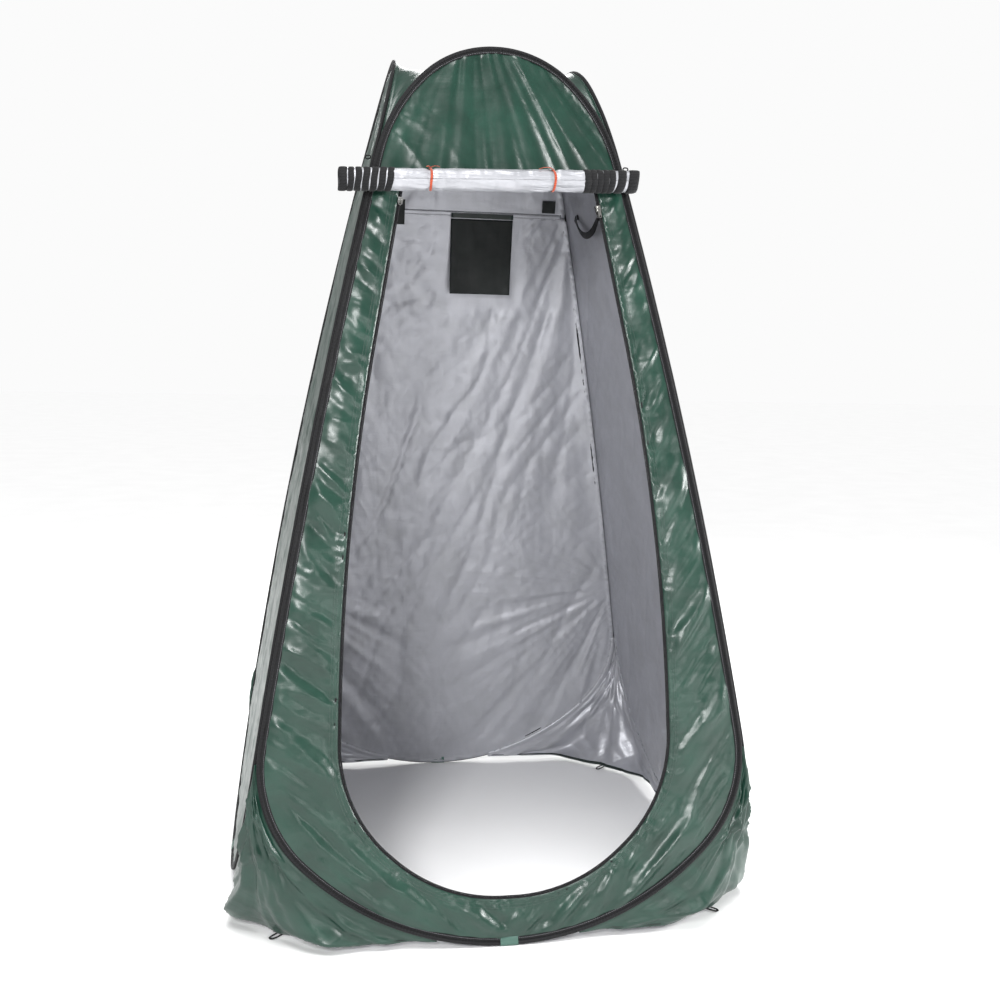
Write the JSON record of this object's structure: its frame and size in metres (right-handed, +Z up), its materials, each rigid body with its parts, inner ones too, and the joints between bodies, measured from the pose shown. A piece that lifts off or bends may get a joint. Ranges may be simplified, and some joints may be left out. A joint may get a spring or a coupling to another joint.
{
  "type": "privacy shower tent",
  "caption": "Pop-up privacy tent of four spring-wire hoops with fabric walls, an arched roof and a door rolled up under its header.",
  "frame": {"origin": "centre of the footprint on the ground", "axes": "+Z up, the door faces -Y, +X to the right as seen from the door"},
  "size_m": [1.1738, 1.1738, 1.8998],
  "materials": {
    "shell_green": "glossy coated polyester, silver coating inside",
    "binding": "dark woven tape",
    "patch_green": "woven patch",
    "door_silver": "silver coated polyester",
    "dark_flap": "dark polyester",
    "tie_orange": "thin cord tape",
    "webbing": "black webbing",
    "spring_wire": "spring steel wire",
    "ferrule": "crimped tube",
    "zip_metal": "plated zinc",
    "zip_coil": "nylon coil"
  },
  "bodies": {
    "back_panel": {"hoop_back": "spring_wire", "ferrule_back": "ferrule", "binding_back": "binding", "seam_tape_back": "binding", "binding_patch_back": "patch_green", "wall_back": "shell_green", "cap_back": "shell_green", "flap_seam": "dark_flap", "wall_tab_left": "dark_flap", "wall_tab_right": "dark_flap", "gusset_back_left": "shell_green", "gusset_back_right": "shell_green", "stake_loop_back_left": "webbing", "stake_loop_back_right": "webbing", "roof": "shell_green"},
    "left_panel": {"hoop_left": "spring_wire", "ferrule_left": "ferrule", "binding_left": "binding", "seam_tape_left": "binding", "binding_patch_left": "patch_green", "wall_left": "shell_green", "gusset_front_left": "shell_green", "stake_loop_front_left": "webbing", "guy_loop_front_left": "webbing", "guy_loop_back_left": "webbing"},
    "front_panel": {"hoop_front": "spring_wire", "ferrule_front": "ferrule", "binding_front": "binding", "seam_tape_front": "binding", "binding_patch_front": "patch_green", "cap_front": "shell_green", "wall_front": "shell_green", "zip_tape": "binding", "zip_coil": "zip_coil", "door_roll": "door_silver", "door_tape_wound_left": "binding", "door_tape_wound_right": "binding", "door_tie_left": "tie_orange", "door_tie_right": "tie_orange"},
    "right_panel": {"hoop_right": "spring_wire", "ferrule_right": "ferrule", "binding_right": "binding", "seam_tape_right": "binding", "binding_patch_right": "patch_green", "wall_right": "shell_green", "gusset_front_right": "shell_green", "stake_loop_front_right": "webbing", "guy_loop_front_right": "webbing", "guy_loop_back_right": "webbing", "strap_anchor_back": "webbing", "strap_anchor_front": "webbing"},
    "flap": {"flap": "dark_flap"},
    "hanging_strap": {"hanging_strap": "webbing"},
    "slider_left": {"zip_slider_left": "zip_metal"},
    "slider_right": {"zip_slider_right": "zip_metal"},
    "pull_left": {"zip_pull_left": "zip_metal"},
    "pull_right_outer": {"zip_pull_right_outer": "zip_metal"},
    "pull_right_inner": {"zip_pull_right_inner": "zip_metal"}
  },
  "joints": [
    {"name": "fold", "type": "hinge", "parent": "back_panel", "child": "left_panel", "pos_m": [-0.36477, 0.36477, 1.04], "axis": [0.1758, -0.1758, 0.9686], "range_deg": [0, 82], "stiffness_Nm_per_rad": 6, "deforming": ["roof", "gusset_back_left"]},
    {"name": "fold_front", "type": "hinge", "parent": "left_panel", "child": "front_panel", "pos_m": [-0.40992, -0.40992, 1.04], "axis": [0.196, 0.196, 0.9608], "range_deg": [-80.1, 0.4], "deforming": ["gusset_front_left"]},
    {"name": "fold_right", "type": "hinge", "parent": "back_panel", "child": "right_panel", "pos_m": [0.40992, 0.40992, 1.04], "axis": [-0.196, -0.196, 0.9608], "range_deg": [-0.4, 80.1], "deforming": ["gusset_back_right", "gusset_front_right"]},
    {"name": "zip_left", "type": "slide", "parent": "front_panel", "child": "slider_left", "axis": [-0.1733, -0.2183, -0.9604], "range_m": [0, 0.2343]},
    {"name": "zip_right", "type": "slide", "parent": "front_panel", "child": "slider_right", "axis": [0.1733, -0.2183, -0.9604], "range_m": [0, 0.2343]},
    {"name": "pull_left_swing", "type": "hinge", "parent": "slider_left", "child": "pull_left", "pos_m": [-0.21824, -0.30294, 1.54949], "axis": [-0.9849, 0.0384, 0.169], "range_deg": [-6, 85]},
    {"name": "pull_right_outer_swing", "type": "hinge", "parent": "slider_right", "child": "pull_right_outer", "pos_m": [0.21824, -0.30294, 1.54949], "axis": [-0.9849, -0.0384, -0.169], "range_deg": [-6, 85]},
    {"name": "pull_right_inner_swing", "type": "hinge", "parent": "slider_right", "child": "pull_right_inner", "pos_m": [0.21824, -0.28987, 1.54652], "axis": [0.9849, 0.0384, 0.169], "range_deg": [-6, 30]},
    {"name": "flap_lift", "type": "hinge", "parent": "back_panel", "child": "flap", "pos_m": [0.055, 0.28663, 1.57631], "axis": [-1, 0, 0], "range_deg": [0, 166]},
    {"name": "strap_swing", "type": "hinge", "parent": "right_panel", "child": "hanging_strap", "pos_m": [0.2825, 0.184, 1.587], "axis": [-0.023, 0.9946, 0.1013], "range_deg": [0, 165]}
  ],
  "couplings": [
    {"joint": "fold_front", "follows": "fold", "ratio": -0.972},
    {"joint": "fold_right", "follows": "fold", "ratio": 0.972}
  ]
}
